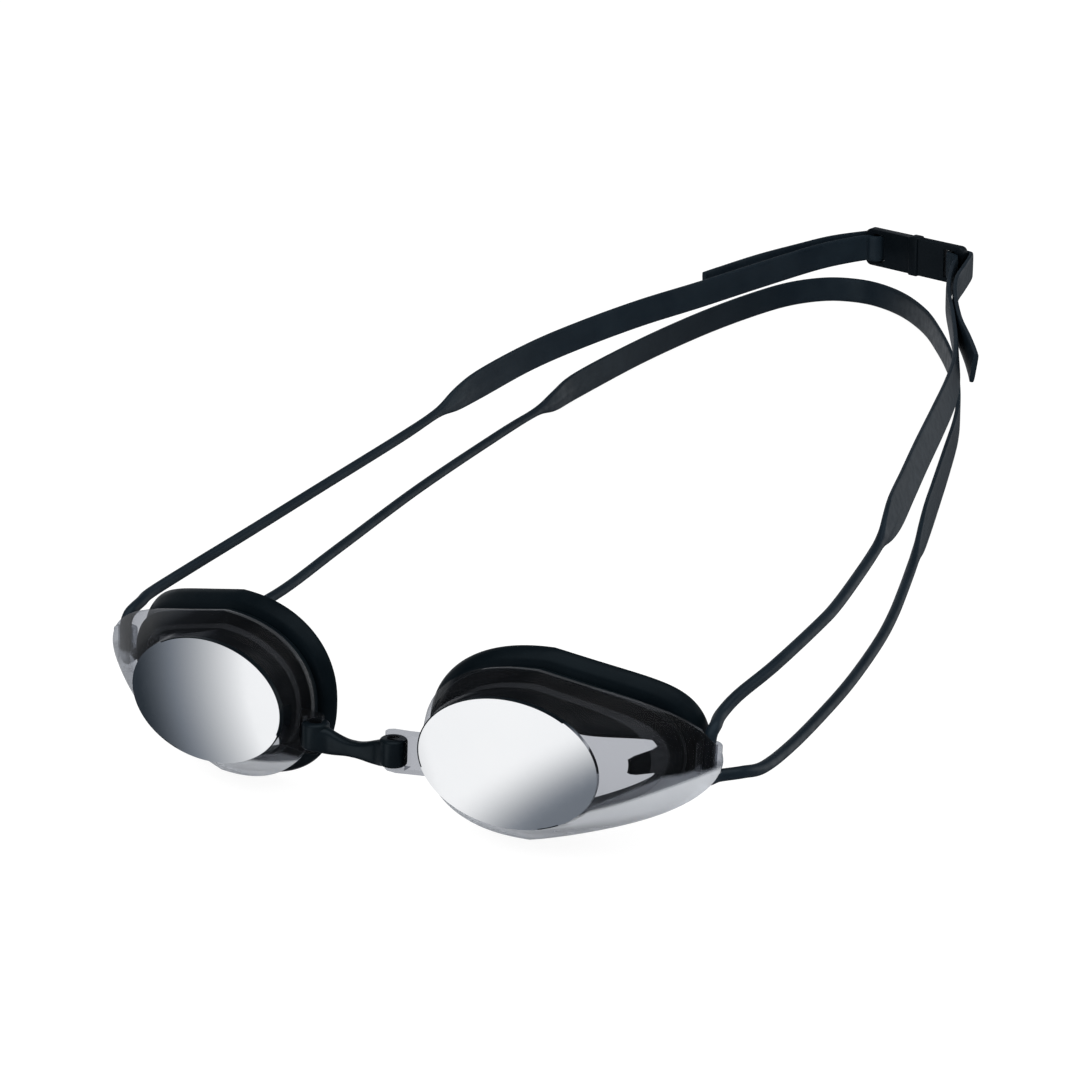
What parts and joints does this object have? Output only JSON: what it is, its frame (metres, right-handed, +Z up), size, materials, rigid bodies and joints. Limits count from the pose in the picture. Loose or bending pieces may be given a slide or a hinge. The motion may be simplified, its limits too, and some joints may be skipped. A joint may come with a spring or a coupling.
{
  "type": "swim goggles",
  "caption": "Racing swim goggles: mirrored eyecups with soft gaskets, a hooked nose bridge and a split silicone strap with an adjuster buckle.",
  "frame": {"origin": "on the surface that the goggles lie on, under the middle of the eyecups", "axes": "+X to the wearer's left, -Y the way the lenses look, +Z up"},
  "size_m": [0.1474, 0.351, 0.0383],
  "materials": {
    "bridge_rubber": "soft matte black",
    "smoke_lens": "clear smoke polycarbonate",
    "mirror_coat": "bright metallic coat",
    "gasket_rubber": "satin black silicone",
    "strap_silicone": "satin dark slate silicone",
    "buckle_plastic": "moulded black"
  },
  "bodies": {
    "bridge": {"nose_bridge": "bridge_rubber", "left_cord": "strap_silicone", "right_cord": "strap_silicone", "lower_strap": "strap_silicone"},
    "left_eyecup": {"left_lens": "smoke_lens", "left_mirror": "mirror_coat", "left_gasket": "gasket_rubber"},
    "right_eyecup": {"right_lens": "smoke_lens", "right_mirror": "mirror_coat", "right_gasket": "gasket_rubber"},
    "upper_strap": {"upper_left_strap": "strap_silicone", "upper_right_strap": "strap_silicone", "upper_left_end": "strap_silicone", "upper_right_end": "strap_silicone"},
    "buckle": {"strap_buckle": "buckle_plastic"}
  },
  "joints": [
    {"name": "left_eyecup_flex", "type": "hinge", "parent": "bridge", "child": "left_eyecup", "pos_m": [0.009, -0.01038, 0.01898], "axis": [0, 0.1822, 0.9833], "range_deg": [-12, 18], "stiffness_Nm_per_rad": 0.06, "deforming": ["left_cord"]},
    {"name": "right_eyecup_flex", "type": "hinge", "parent": "bridge", "child": "right_eyecup", "pos_m": [-0.009, -0.01038, 0.01898], "axis": [0, -0.1822, -0.9833], "range_deg": [-12, 18], "stiffness_Nm_per_rad": 0.06, "deforming": ["right_cord"]},
    {"name": "strap_lift", "type": "hinge", "parent": "bridge", "child": "upper_strap", "pos_m": [0, 0.03556, 0.0273], "axis": [1, 0, 0], "range_deg": [0, 35], "deforming": ["upper_left_strap", "upper_right_strap"]},
    {"name": "buckle_slide", "type": "slide", "parent": "upper_strap", "child": "buckle", "axis": [0.9455, -0.3256, 0], "range_m": [-0.008, 0.008], "deforming": ["upper_left_end", "upper_right_end"]}
  ]
}
